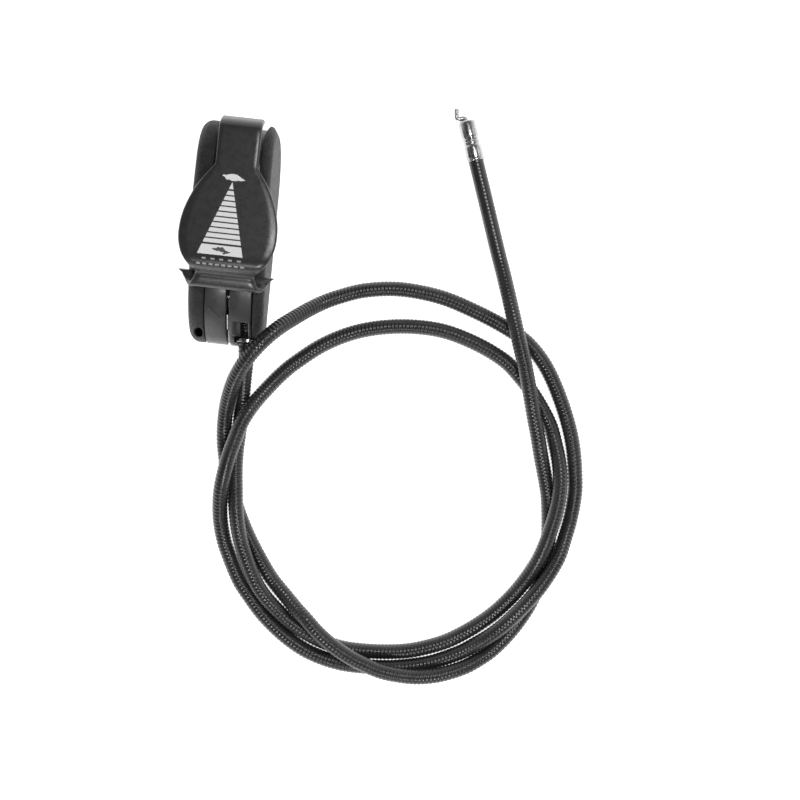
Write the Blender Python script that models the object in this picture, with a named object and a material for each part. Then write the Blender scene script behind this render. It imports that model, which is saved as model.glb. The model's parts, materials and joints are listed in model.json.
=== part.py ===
"""Hand lever throttle control with a sheathed cable.

A narrow plastic head holds a thumb lever that swings up about a pin near its top end.
A steel crank on the pin pushes an inner wire through a ribbed sheath to a bent wire end.
Frame: the head rests on z = 0, its length runs along Y and its layers are stacked along X.
"""
import math

import bmesh
import bpy
from mathutils import Matrix, Vector

MM = 0.001
GAP = 0.3

# Head: layers along X, side outline in Y and Z
BODY_LEFT = -13.4
LEFT_SEAM = -7.9
CORE_LEFT_FACE = -7.6
SLOT_LEFT = -0.6
SLOT_RIGHT = 0.4
CORE_RIGHT_FACE = 7.6
RIGHT_SEAM = 7.9
BODY_RIGHT = 11.5
BODY_BOTTOM_Y = -36.0
EDGE_ROUND = 3.5
COVER_REACH = 1.1
COVER_WALL = 2.0
CORNER_ROUND = 4.5
BACK_ROUND = 18.5

# Lever pivot and its swept surfaces
PIVOT_Y = 19.3
PIVOT_Z = 29.5
COVER_ARC = 14.2
CORE_ARC = 13.9
PIN_RADIUS = 2.5
BORE_RADIUS = PIN_RADIUS + GAP
WEB_HALF = 1.2
HUB_RADIUS = 9.0

# Lever sheet: centre line height, thickness and widths
SHEET = 2.0
PLATE_Z = 45.2
STRAP_WIDTH = 13.6
SPOON_WIDTH = 30.9
NECK_WIDTH = 19.0
LIP_WIDTH = 22.0
WING_WIDTH = 30.8
LEAN = 0.018

# Crank and wires
WIRE_X = 5.9
WIRE_Z = 9.0
WIRE_RADIUS = 0.8
LIFT = PIVOT_Z - WIRE_Z
REST_ANGLE = math.radians(20.0)
OPEN_ANGLE = math.radians(25.0)
CRANK_LEFT = 3.0
CRANK_RIGHT = 4.0
CRANK_HALF_WIDTH = 4.0
CRANK_TIP = 25.6
CRANK_HUB = 7.0
TRAVEL = LIFT * (math.tan(REST_ANGLE) + math.tan(OPEN_ANGLE))

# Sheathed cable
CONDUIT_RADIUS = 2.45
EXIT_BORE = 2.9
LINER_BORE = 1.1
CONDUIT_START_Y = -30.0
FERRULE_BACK = Vector((75.3, 34.6, 3.0))
FERRULE_AXIS = Vector((-0.347, 0.938, 0.0)).normalized()
FERRULE_LENGTH = 13.8
TIP_AXIS = Vector((-0.11, 0.994, 0.0)).normalized()
SLEEVE_DEPTH = 5.0
SLEEVE_TAIL = 17.0

# Screws through the head: (y, z)
SCREWS = ((-20.0, 19.0), (-2.0, 35.0), (29.6, 18.8))
SCREW_RADIUS = 1.5
SCREW_HEAD_RADIUS = 2.4
NUT_RADIUS = 3.1

# Route of the sheath from the head to its last straight stretch, centre line
ROUTE = (
    (5.9, -36.3, 9.0), (6.4, -40.7, 8.6), (6.3, -46.4, 7.0), (6.3, -52.1, 5.4),
    (6.2, -57.5, 4.5), (6.3, -62.2, 4.2), (6.3, -66.6, 5.0), (6.3, -70.9, 6.4),
    (6.7, -77.2, 7.3), (7.5, -83.8, 7.6), (8.3, -89.8, 7.8), (9.9, -97.0, 7.4),
    (12.3, -103.8, 6.7), (17.0, -113.1, 6.0), (21.0, -118.3, 5.4), (25.5, -122.4, 4.6),
    (30.0, -125.9, 3.8), (35.2, -128.7, 3.6), (41.2, -131.2, 3.0), (47.8, -132.8, 2.6),
    (54.6, -133.1, 2.6), (63.0, -132.6, 2.6), (71.5, -131.2, 2.6), (79.6, -128.4, 2.6),
    (85.5, -125.4, 2.6), (92.7, -120.3, 2.6), (99.2, -114.3, 2.8), (105.2, -106.3, 4.6),
    (109.8, -97.5, 7.2), (112.1, -90.9, 7.8), (113.4, -85.2, 7.8), (114.3, -80.8, 7.5),
    (115.0, -74.7, 6.8), (114.9, -68.7, 5.7), (113.9, -62.8, 4.2), (112.0, -56.6, 3.0),
    (109.4, -50.2, 2.6), (103.7, -42.0, 2.6), (98.1, -36.0, 2.6), (91.8, -30.8, 2.6),
    (81.6, -26.2, 2.6), (69.5, -23.2, 2.6), (56.0, -23.4, 2.6), (42.8, -26.4, 2.6),
    (31.6, -32.0, 2.6), (22.3, -39.5, 2.6), (17.8, -44.2, 3.2), (14.2, -48.9, 4.8),
    (11.0, -53.6, 7.2), (8.8, -57.7, 9.5), (7.0, -62.0, 10.4), (5.7, -67.2, 11.2),
    (4.3, -73.3, 11.6), (3.4, -79.4, 11.2), (2.9, -84.2, 10.0), (2.9, -89.4, 7.6),
    (3.4, -94.5, 5.4), (4.7, -99.9, 3.6), (6.5, -104.5, 2.8), (11.4, -113.7, 2.6),
    (15.9, -119.3, 2.6), (20.3, -124.1, 2.6), (25.2, -128.3, 2.6), (30.2, -131.8, 2.6),
    (35.8, -134.8, 2.6), (41.3, -136.7, 2.6), (46.5, -137.8, 2.6), (51.8, -138.3, 2.6),
    (60.2, -138.1, 2.6), (68.5, -137.1, 2.6), (78.4, -134.6, 2.6), (87.4, -130.4, 2.8),
    (92.5, -126.9, 3.8), (97.4, -122.9, 5.6), (101.6, -118.7, 6.8), (105.6, -113.9, 7.4),
    (109.0, -109.3, 7.7), (112.2, -104.4, 7.7), (115.0, -99.1, 7.3), (117.2, -94.0, 6.3),
    (118.7, -87.9, 4.4), (119.9, -81.8, 3.0), (120.5, -75.0, 2.6), (120.2, -68.3, 2.6),
    (117.8, -55.7, 2.6), (113.0, -43.4, 2.6), (106.5, -31.9, 2.6), (99.4, -24.4, 2.6),
    (91.4, -19.9, 2.6), (80.5, -15.6, 2.6), (68.3, -12.1, 2.6), (54.6, -11.0, 2.6),
    (43.0, -12.7, 2.6), (34.9, -15.7, 3.4), (29.4, -18.5, 5.2), (24.7, -21.8, 9.0),
    (20.5, -25.3, 13.2), (16.9, -28.5, 16.8), (13.7, -31.9, 19.0), (10.7, -35.5, 19.3),
    (8.2, -38.9, 18.4), (5.8, -42.9, 16.4), (3.7, -47.4, 13.5), (2.2, -52.6, 10.0),
    (1.4, -57.7, 7.0), (1.2, -62.8, 4.8), (1.5, -67.8, 3.4), (2.4, -72.8, 2.6),
    (3.9, -78.4, 2.6), (5.9, -84.3, 2.6), (8.9, -91.4, 2.6), (13.6, -100.0, 2.6),
    (19.4, -108.5, 2.6), (23.1, -113.1, 2.6), (27.9, -117.6, 3.9), (32.4, -121.6, 6.1),
    (35.8, -124.3, 7.9), (39.5, -127.6, 8.4), (44.1, -131.0, 8.5), (48.4, -133.5, 8.3),
    (52.6, -135.5, 8.0), (56.8, -137.0, 7.9), (61.3, -138.4, 7.6), (66.1, -139.1, 7.6),
    (73.8, -139.3, 6.9), (81.6, -138.0, 5.6), (89.7, -134.8, 4.2), (94.9, -131.4, 3.0),
    (98.5, -128.3, 2.6), (102.0, -124.2, 2.6), (105.3, -119.4, 2.6), (108.0, -114.6, 2.6),
    (110.0, -110.1, 2.6), (111.6, -105.0, 2.6), (112.7, -99.5, 2.6), (113.5, -92.7, 2.6),
    (113.2, -85.9, 2.6), (111.9, -75.9, 2.6), (110.7, -71.0, 2.8), (109.2, -66.1, 3.4),
    (107.6, -61.1, 4.4), (105.6, -54.3, 5.8), (103.7, -48.4, 7.0), (101.4, -40.6, 7.9),
    (98.6, -31.5, 8.2), (95.5, -22.8, 8.1), (93.2, -16.0, 7.0), (90.7, -8.5, 5.2),
    (88.3, -1.5, 3.8), (85.9, 5.0, 3.1), (81.0, 18.7, 3.0),
)
CONDUIT_STEP = 14.2
LOWEST_CENTRE = CONDUIT_RADIUS + 0.15


# ---------------------------------------------------------------- basics

def clear_scene():
    for obj in list(bpy.data.objects):
        bpy.data.objects.remove(obj, do_unlink=True)


def make_material(name, colour, roughness, metallic=0.0):
    mat = bpy.data.materials.new(name)
    mat.use_nodes = True
    shader = mat.node_tree.nodes["Principled BSDF"]
    shader.inputs["Base Color"].default_value = (*colour, 1.0)
    shader.inputs["Roughness"].default_value = roughness
    shader.inputs["Metallic"].default_value = metallic
    return mat


def add_object(name, bm, mat, smooth=False):
    bmesh.ops.recalc_face_normals(bm, faces=bm.faces)
    mesh = bpy.data.meshes.new(name)
    bm.to_mesh(mesh)
    bm.free()
    if smooth:
        mesh.shade_smooth()
        mesh.set_sharp_from_angle(angle=math.radians(35))
    if mat:
        mesh.materials.append(mat)
    obj = bpy.data.objects.new(name, mesh)
    bpy.context.scene.collection.objects.link(obj)
    return obj


def guide(obj):
    """Mark an object as an operand of a Boolean, not a piece."""
    obj.hide_render = True
    obj.display_type = "WIRE"
    return obj


def combine(target, other, operation):
    guide(other)
    mod = target.modifiers.new(operation.title() + " " + other.name, "BOOLEAN")
    mod.operation = operation
    mod.solver = "EXACT"
    mod.object = other


def cut(target, *cutters):
    for cutter in cutters:
        combine(target, cutter, "DIFFERENCE")


def join(target, *others):
    for other in others:
        combine(target, other, "UNION")


def loft(name, rings, mat, smooth=False):
    """Closed solid through rings of equal point counts, in millimetres."""
    bm = bmesh.new()
    rows = [[bm.verts.new(Vector(p) * MM) for p in ring] for ring in rings]
    count = len(rows[0])
    for low, high in zip(rows, rows[1:]):
        for i in range(count):
            j = (i + 1) % count
            bm.faces.new((low[i], low[j], high[j], high[i]))
    bm.faces.new(rows[0])
    bm.faces.new(rows[-1])
    return add_object(name, bm, mat, smooth)


def prism_x(name, outline, x0, x1, mat=None):
    """Outline of (y, z) points extruded from x0 to x1."""
    return loft(name, [[(x, y, z) for y, z in outline] for x in (x0, x1)], mat)


def box(name, low, high, mat=None):
    outline = ((low[1], low[2]), (high[1], low[2]), (high[1], high[2]), (low[1], high[2]))
    return prism_x(name, outline, low[0], high[0], mat)


def turned(name, profile, origin, axis, mat=None, segments=20, smooth=True):
    """Closed (radius, distance) profile turned about an axis through origin."""
    axis = Vector(axis).normalized()
    side = axis.orthogonal().normalized()
    other = axis.cross(side)
    bm = bmesh.new()
    rows = []
    for radius, distance in profile:
        centre = Vector(origin) + axis * distance
        if radius == 0.0:
            rows.append([bm.verts.new(centre * MM)])
            continue
        ring = []
        for i in range(segments):
            angle = 2.0 * math.pi * i / segments
            outward = side * math.cos(angle) + other * math.sin(angle)
            ring.append(bm.verts.new((centre + radius * outward) * MM))
        rows.append(ring)
    for low, high in zip(rows, rows[1:] + rows[:1]):
        if len(low) == 1 and len(high) == 1:
            continue
        for i in range(segments):
            j = (i + 1) % segments
            if len(low) == 1:
                bm.faces.new((low[0], high[j], high[i]))
            elif len(high) == 1:
                bm.faces.new((low[i], low[j], high[0]))
            else:
                bm.faces.new((low[i], low[j], high[j], high[i]))
    return add_object(name, bm, mat, smooth)


def rod(name, origin, axis, radius, length, mat=None, segments=20):
    profile = ((0.0, 0.0), (radius, 0.0), (radius, length), (0.0, length))
    return turned(name, profile, origin, axis, mat, segments)


def ring_piece(name, origin, axis, bore, radius, length, mat, segments=20):
    profile = ((bore, 0.0), (radius, 0.0), (radius, length), (bore, length))
    return turned(name, profile, origin, axis, mat, segments)


def swept_wire(name, points, radius, mat, segments=10):
    """Round wire along a chain of points, with mitred corners."""
    points = [Vector(p) for p in points]
    rings = []
    normal = Vector((0.0, 0.0, 1.0))
    if abs((points[1] - points[0]).normalized().z) > 0.9:
        normal = Vector((0.0, 1.0, 0.0))
    for i, point in enumerate(points):
        before = (point - points[i - 1]).normalized() if i else None
        after = (points[i + 1] - point).normalized() if i + 1 < len(points) else None
        along = before + after if before and after else (before or after)
        along.normalize()
        side = along.cross(normal).normalized()
        up = side.cross(along).normalized()
        turn = [2.0 * math.pi * k / segments for k in range(segments)]
        rings.append([point + radius * (side * math.cos(a) + up * math.sin(a)) for a in turn])
    return loft(name, rings, mat, smooth=True)


# ---------------------------------------------------------------- curves

def arc(cy, cz, radius, start, end, steps):
    """Points of an arc in Y and Z, angles in degrees from +Y."""
    out = []
    for i in range(steps + 1):
        angle = math.radians(start + (end - start) * i / steps)
        out.append((cy + radius * math.cos(angle), cz + radius * math.sin(angle)))
    return out


def smooth_curve(points, steps):
    """Catmull-Rom curve through points of any dimension."""
    pts = [Vector(p) for p in points]
    pts = [pts[0] * 2 - pts[1]] + pts + [pts[-1] * 2 - pts[-2]]
    out = []
    for a, b, c, d in zip(pts, pts[1:], pts[2:], pts[3:]):
        for i in range(steps):
            t = i / steps
            out.append(0.5 * (2 * b + (c - a) * t + (2 * a - 5 * b + 4 * c - d) * t * t
                              + (3 * b - a - 3 * c + d) * t ** 3))
    out.append(pts[-2])
    return out


def evenly(points, step):
    """Points at equal distances of about step along a dense chain."""
    lengths = [0.0]
    for a, b in zip(points, points[1:]):
        lengths.append(lengths[-1] + (b - a).length)
    count = max(2, round(lengths[-1] / step))
    out = []
    k = 0
    for i in range(count + 1):
        want = lengths[-1] * i / count
        while k < len(points) - 2 and lengths[k + 1] < want:
            k += 1
        span = lengths[k + 1] - lengths[k]
        out.append(points[k].lerp(points[k + 1], (want - lengths[k]) / span if span else 0.0))
    return out


def front_curve():
    """Lower front of the head, from under the lever down to the bottom end."""
    knots = ((0.0, 43.6), (-4.5, 41.6), (-9.5, 36.0), (-14.5, 31.2), (-21.0, 27.4),
             (-27.5, 22.3), (-32.3, 15.8), (-35.2, 9.6), (BODY_BOTTOM_Y, CORNER_ROUND))
    return [(p[0], p[1]) for p in smooth_curve([(y, z, 0.0) for y, z in knots], 3)]


def head_outline(arc_radius, reach=0.0):
    """Side outline: flat back, round top end about the pivot or a little beyond it, curved lower front."""
    top = arc(PIVOT_Y + reach, PIVOT_Z, arc_radius, 0.0, 90.0, 10)
    end_y = PIVOT_Y + reach + arc_radius
    back_top = arc(end_y - BACK_ROUND, BACK_ROUND, BACK_ROUND, -90.0, 0.0, 8)
    back_low = arc(BODY_BOTTOM_Y + CORNER_ROUND, CORNER_ROUND, CORNER_ROUND, 180.0, 270.0, 3)
    return back_top + top + front_curve()[:-1] + back_low


def inset(outline, distance):
    """Outline moved inwards along its vertex normals; runs anticlockwise in (y, z)."""
    out = []
    count = len(outline)
    for i in range(count):
        before = Vector(outline[i]) - Vector(outline[i - 1])
        after = Vector(outline[(i + 1) % count]) - Vector(outline[i])
        mean = (before.normalized() + after.normalized()).normalized()
        out.append((outline[i][0] - mean.y * distance, outline[i][1] + mean.x * distance))
    return out


# ---------------------------------------------------------------- head

def cover_shell(name, seam, outer, mat):
    """Cover plate with a rounded outer edge."""
    sign = 1.0 if outer > seam else -1.0
    outline = head_outline(COVER_ARC, COVER_REACH)
    rings = [[(seam, y, z) for y, z in outline]]
    for i in range(5):
        angle = math.radians(90.0 * i / 4)
        x = outer - sign * EDGE_ROUND * (1.0 - math.sin(angle))
        rings.append([(x, y, z) for y, z in inset(outline, EDGE_ROUND * (1.0 - math.cos(angle)))])
    return loft(name, rings, mat, smooth=True)


def screw_holes(prefix, radius, x0, x1):
    return [rod(f"{prefix}_{i}", (x0, y, z), (1, 0, 0), radius, x1 - x0, segments=14)
            for i, (y, z) in enumerate(SCREWS, 1)]


def left_cover(mat):
    cover = cover_shell("left_cover", LEFT_SEAM, BODY_LEFT, mat)
    walls = [(y, z) for y, z in inset(head_outline(COVER_ARC, COVER_REACH), COVER_WALL) if y > -26.0]
    hollow = prism_x("left_hollow", walls + [(-24.0, COVER_WALL)], BODY_LEFT + COVER_WALL, LEFT_SEAM + 1.0)
    cut(hollow, *screw_holes("left_boss", 3.4, -12.0, LEFT_SEAM + 2.0))
    cut(cover, hollow)
    bore = SCREW_RADIUS + GAP
    sink = SCREW_HEAD_RADIUS + GAP
    stepped = ((0.0, 0.0), (sink, 0.0), (sink, 3.5), (bore, 3.5), (bore, 9.0), (0.0, 9.0))
    for i, (y, z) in enumerate(SCREWS, 1):
        cut(cover, turned(f"left_bore_{i}", stepped, (-15.0, y, z), (1, 0, 0), segments=14))
    cut(cover, rod("mount_hole", (-9.8, -33.0, 4.0), (0, 0, 1), 1.5, 30.0, segments=16))
    return cover


def conduit_cutters(side):
    """Bores and slots for the sheath end, its guide tube and its clip."""
    return (
        rod(f"{side}_exit_bore", (WIRE_X, -40.0, WIRE_Z), (0, 1, 0), EXIT_BORE, 8.5),
        rod(f"{side}_cap_bore", (WIRE_X, -31.8, WIRE_Z), (0, 1, 0), 3.5, 9.8),
        box(f"{side}_clip_slot", (1.9, -35.0, 4.2), (9.9, -33.0, 30.0)),
    )


def right_cover(mat):
    cover = cover_shell("right_cover", RIGHT_SEAM, BODY_RIGHT, mat)
    cut(cover, rod("right_pin_pocket", (6.0, PIVOT_Y, PIVOT_Z), (1, 0, 0), 3.4, 2.6))
    for i, (y, z) in enumerate(SCREWS, 1):
        cut(cover, rod(f"nut_pocket_{i}", (6.0, y, z), (1, 0, 0), NUT_RADIUS + 0.5, 4.5, segments=6))
    cut(cover, *conduit_cutters("cover"))
    return cover


def web_pocket(name, x0, x1):
    """Space swept by the lever web and hub, open at the front and top end."""
    hub = HUB_RADIUS + 0.4
    outline = arc(PIVOT_Y, PIVOT_Z, hub, 180.0, 322.0, 14) + arc(PIVOT_Y, PIVOT_Z, 22.0, -38.0, 112.0, 12)
    return prism_x(name, outline, x0, x1)


def crank_pocket(name, x0, x1):
    """Space swept by the crank: its hub, both end positions and the arc between."""
    edge = CRANK_HALF_WIDTH + 0.6
    reach = CRANK_TIP + 0.7
    lean = math.degrees(math.asin(edge / reach))
    low = -90.0 - math.degrees(OPEN_ANGLE)
    high = -90.0 + math.degrees(REST_ANGLE)
    outline = arc(PIVOT_Y, PIVOT_Z, reach, low - lean, high + lean, 12)
    outline += arc(PIVOT_Y, PIVOT_Z, CRANK_HUB + 1.2, high + 40.0, low - 40.0 + 360.0, 14)
    return prism_x(name, outline, x0, x1)


def core_left(mat):
    core = prism_x("core_left", head_outline(CORE_ARC), CORE_LEFT_FACE, SLOT_LEFT, mat)
    cut(core, web_pocket("left_web_pocket", -WEB_HALF - GAP, SLOT_LEFT + 1.0))
    cut(core, rod("left_pin_bore", (-9.0, PIVOT_Y, PIVOT_Z), (1, 0, 0), BORE_RADIUS, 9.0))
    cut(core, *screw_holes("core_left_bore", SCREW_RADIUS + GAP, -9.0, 1.0))
    return core


def core_right(mat):
    core = prism_x("core_right", head_outline(CORE_ARC), SLOT_RIGHT, CORE_RIGHT_FACE, mat)
    cut(core, web_pocket("right_web_pocket", SLOT_RIGHT - 1.0, WEB_HALF + GAP))
    cut(core, rod("right_pin_bore", (-1.0, PIVOT_Y, PIVOT_Z), (1, 0, 0), BORE_RADIUS, 5.0))
    cut(core, crank_pocket("crank_pocket", 2.3, CORE_RIGHT_FACE + 1.0))
    cut(core, box("wire_corridor", (3.2, -23.0, 7.0), (8.0, 12.0, 11.0)))
    cut(core, box("cable_channel", (4.1, -40.0, WIRE_Z), (CORE_RIGHT_FACE - 0.8, -28.5, 50.0)))
    cut(core, *screw_holes("core_right_bore", SCREW_RADIUS + GAP, -1.0, 8.0))
    cut(core, *conduit_cutters("core"))
    return core


def centre_plate(mat):
    """Thin steel plate in the slot between the core halves, with a tab at the front."""
    outline = ((-35.2, 3.5), (6.0, 3.5), (6.0, 13.0), (-16.0, 22.5), (-26.6, 19.0),
               (-26.6, 22.2), (-31.2, 16.6), (-31.2, 12.0), (-35.2, 7.0))
    plate = prism_x("centre_plate", outline, SLOT_LEFT + GAP, SLOT_RIGHT - GAP, mat)
    y, z = SCREWS[0]
    cut(plate, rod("plate_bore", (-1.0, y, z), (1, 0, 0), SCREW_RADIUS + GAP, 3.0, segments=14))
    return plate


def screws_and_nuts(mat):
    head = ((0.0, 0.0), (SCREW_HEAD_RADIUS - 0.5, 0.0), (SCREW_HEAD_RADIUS, 0.5), (SCREW_HEAD_RADIUS, 1.3),
            (SCREW_RADIUS, 1.3), (SCREW_RADIUS, 22.7), (0.0, 22.7))
    for i, (y, z) in enumerate(SCREWS, 1):
        screw = turned(f"cover_screw_{i}", head, (-13.2, y, z), (1, 0, 0), mat, segments=14)
        cut(screw, box(f"driver_slot_{i}", (-14.3, y - 0.35, z - 4.0), (-12.6, y + 0.35, z + 4.0)))
        ring_piece(f"cover_nut_{i}", (8.2, y, z), (1, 0, 0), SCREW_RADIUS + GAP, NUT_RADIUS, 1.8, mat, 6)


def conduit_clip(mat):
    """Spring steel clip that straddles the sheath at the exit."""
    y0, y1 = -34.7, -33.4
    inner = CONDUIT_RADIUS + GAP
    outer = inner + 0.9
    angles = [math.radians(180.0 - 15.0 * i) for i in range(13)]
    ring_out = [(WIRE_X + outer * math.cos(a), WIRE_Z + outer * math.sin(a)) for a in angles]
    ring_in = [(WIRE_X + inner * math.cos(a), WIRE_Z + inner * math.sin(a)) for a in reversed(angles)]
    legs_right = [(WIRE_X + outer, WIRE_Z - 3.6), (WIRE_X + inner, WIRE_Z - 3.6)]
    legs_left = [(WIRE_X - inner, WIRE_Z - 3.6), (WIRE_X - outer, WIRE_Z - 3.6)]
    outline = ring_out + legs_right + ring_in + legs_left
    return loft("conduit_clip", [[(x, y, z) for x, z in outline] for y in (y0, y1)], mat)


def head_cap(mat):
    """Metal cap crimped on the end of the sheath inside the head."""
    back = CONDUIT_START_Y + GAP
    profile = ((CONDUIT_RADIUS + GAP, -1.6), (3.2, -1.6), (3.2, 6.0), (2.4, 7.0), (2.4, 7.4),
               (1.9, 7.4), (1.9, 0.0), (CONDUIT_RADIUS + GAP, 0.0))
    return turned("head_cap", profile, (WIRE_X, back, WIRE_Z), (0, 1, 0), mat, segments=18)


def wire_guide(mat):
    """Slim tube that keeps the inner wire straight between the cap and the crank."""
    start = CONDUIT_START_Y + 2 * GAP
    return ring_piece("wire_guide", (WIRE_X, start, WIRE_Z), (0, 1, 0), LINER_BORE, 1.55, 19.0, mat, 14)


# ---------------------------------------------------------------- lever

def lever_path():
    """Centre line of the lever sheet in (y, z) with its width at each point."""
    fold = ((34.2, 39.5), (33.5, 41.4), (32.7, 43.3), (31.6, 44.7), (30.1, PLATE_Z), (24.0, PLATE_Z),
            (19.5, PLATE_Z))
    path = [(y, z, STRAP_WIDTH) for y, z in fold]
    spoon = ((18.2, 14.8), (16.5, 17.2), (14.7, 19.8), (12.4, 22.6), (10.0, 25.0), (7.6, 27.0), (5.3, 28.6),
             (3.0, 29.8), (0.6, 30.6), (-1.8, SPOON_WIDTH), (-4.2, 30.8), (-6.6, 30.0))
    path += [(y, PLATE_Z, width) for y, width in spoon]
    path += [(-9.2, 45.1, 28.2), (-11.0, 44.6, 25.9), (-12.2, 43.7, 23.4), (-12.9, 42.4, 21.4),
             (-13.4, 41.0, 19.8), (-14.0, 39.7, NECK_WIDTH), (-15.0, 38.7, 19.0), (-16.3, 38.1, 19.8)]
    lip = arc(-16.4, 35.9, 1.8, 125.0, 285.0, 7)
    for i, (y, z) in enumerate(lip):
        path.append((y, z, LIP_WIDTH + (i - 1) * 0.9))
    path += [(-15.1, 34.2, 28.4), (-14.6, 34.3, 29.6), (-14.1, 34.4, WING_WIDTH)]
    return path


def lever_sheet(name, mat):
    path = lever_path()
    rings = []
    for i, (y, z, width) in enumerate(path):
        y0, z0 = path[max(i - 1, 0)][:2]
        y1, z1 = path[min(i + 1, len(path) - 1)][:2]
        along = Vector((y1 - y0, z1 - z0)).normalized()
        out = Vector((along.y, -along.x)) * (SHEET / 2)
        middle = min(0.0, (y - PIVOT_Y) * LEAN)
        left = middle - width / 2
        right = middle + width / 2
        rings.append([(left, y + out.x, z + out.y), (right, y + out.x, z + out.y),
                      (right, y - out.x, z - out.y), (left, y - out.x, z - out.y)])
    return loft(name, rings, mat, smooth=True)


def lever(mat):
    piece = lever_sheet("lever", mat)
    top = PLATE_Z - 0.3
    web = ((12.0, top), (PIVOT_Y - 8.5, PIVOT_Z), (PIVOT_Y + 8.5, PIVOT_Z), (30.0, top))
    x0 = -WEB_HALF
    x1 = WEB_HALF
    join(piece, prism_x("lever_web", web, x0, x1))
    join(piece, rod("lever_hub", (x0, PIVOT_Y, PIVOT_Z), (1, 0, 0), HUB_RADIUS, x1 - x0, segments=32))
    cut(piece, rod("lever_bore", (x0 - 1.0, PIVOT_Y, PIVOT_Z), (1, 0, 0), BORE_RADIUS, x1 - x0 + 2.0))
    return piece


def pivot_pin(mat):
    profile = ((0.0, 0.0), (4.0, 0.0), (4.2, 0.4), (4.2, 1.4), (PIN_RADIUS, 1.4), (PIN_RADIUS, 17.2),
               (0.0, 17.2))
    return turned("pivot_pin", profile, (-9.4, PIVOT_Y, PIVOT_Z), (1, 0, 0), mat, segments=20)


def pin_stack(steel, spring):
    """Washers and retaining ring on the crank side of the pin."""
    pivot = (PIVOT_Y, PIVOT_Z)
    ring_piece("friction_washer", (4.3, *pivot), (1, 0, 0), BORE_RADIUS, 6.0, 0.5, spring)
    ring_piece("flat_washer", (5.1, *pivot), (1, 0, 0), BORE_RADIUS, 5.4, 0.6, steel)
    ring_piece("pivot_clip", (6.0, *pivot), (1, 0, 0), BORE_RADIUS, 4.2, 0.7, spring)


def crank_plate(mat):
    """Slotted steel arm keyed to the pin; it pushes and pulls the inner wire."""
    lean = math.degrees(math.asin(CRANK_HALF_WIDTH / CRANK_TIP))
    outline = arc(0.0, 0.0, CRANK_TIP, -90.0 - lean, -90.0 + lean, 4)
    outline += arc(0.0, 0.0, CRANK_HUB, -55.0, 235.0, 18)
    slot = arc(0.0, -22.3, 1.4, 180.0, 360.0, 6) + arc(0.0, -20.8, 1.4, 0.0, 180.0, 6)
    turn = Matrix.Rotation(REST_ANGLE, 2)

    def place(points):
        return [(PIVOT_Y + (turn @ Vector(p)).x, PIVOT_Z + (turn @ Vector(p)).y) for p in points]

    crank = prism_x("crank_plate", place(outline), CRANK_LEFT, CRANK_RIGHT, mat)
    cut(crank, prism_x("crank_slot", place(slot), CRANK_LEFT - 1.0, CRANK_RIGHT + 1.0))
    cut(crank, rod("crank_bore", (CRANK_LEFT - 1.0, PIVOT_Y, PIVOT_Z), (1, 0, 0), BORE_RADIUS, 3.0))
    return crank


# ---------------------------------------------------------------- wires and cable

def head_wire(mat):
    """Inner wire in the head; its bent end sits in the crank slot."""
    hook_y = PIVOT_Y + LIFT * math.tan(REST_ANGLE)
    low_y = CONDUIT_START_Y + 2 * GAP + TRAVEL + 0.3
    points = ((WIRE_X, low_y, WIRE_Z), (WIRE_X, hook_y - 1.2, WIRE_Z),
              (WIRE_X - 0.35, hook_y - 0.35, WIRE_Z), (WIRE_X - 1.2, hook_y, WIRE_Z), (2.7, hook_y, WIRE_Z))
    return swept_wire("head_wire", points, WIRE_RADIUS, mat)


def conduit(mat):
    """Ribbed sheath, plain here, from the head cap to its last straight stretch."""
    start = Vector((WIRE_X, CONDUIT_START_Y, WIRE_Z))
    points = [start] + evenly(smooth_curve(ROUTE, 12), CONDUIT_STEP)
    for point in points:
        point.z = max(point.z, LOWEST_CENTRE)
    curve = bpy.data.curves.new("conduit", "CURVE")
    curve.dimensions = "3D"
    curve.bevel_depth = CONDUIT_RADIUS * MM
    curve.bevel_resolution = 2
    curve.use_fill_caps = True
    spline = curve.splines.new("POLY")
    spline.points.add(len(points) - 1)
    for target, point in zip(spline.points, points):
        target.co = (*(point * MM), 1.0)
    curve.materials.append(mat)
    obj = bpy.data.objects.new("conduit", curve)
    bpy.context.scene.collection.objects.link(obj)
    return obj


def end_fitting(sheath, metal, nylon):
    """Hollow last stretch of the sheath, the crimped ferrule and its liner bush."""
    tail = FERRULE_BACK - FERRULE_AXIS * (SLEEVE_TAIL - GAP)
    length = SLEEVE_TAIL - GAP + SLEEVE_DEPTH - GAP
    ring_piece("conduit_end", tail, FERRULE_AXIS, LINER_BORE, CONDUIT_RADIUS, length, sheath, 16)
    outer = ((3.0, 0.0), (3.0, 5.0), (2.75, 5.5), (2.75, 7.7), (2.9, 8.2), (2.9, 13.4),
             (2.5, FERRULE_LENGTH))
    bore = ((1.7, FERRULE_LENGTH), (1.7, SLEEVE_DEPTH), (2.85, SLEEVE_DEPTH), (2.85, 0.0))
    turned("end_ferrule", outer + bore, FERRULE_BACK, FERRULE_AXIS, metal, segments=20)
    bush = FERRULE_BACK + FERRULE_AXIS * (FERRULE_LENGTH - 5.0)
    ring_piece("end_bush", bush, FERRULE_AXIS, LINER_BORE, 1.4, 5.2, nylon, 14)


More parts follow.
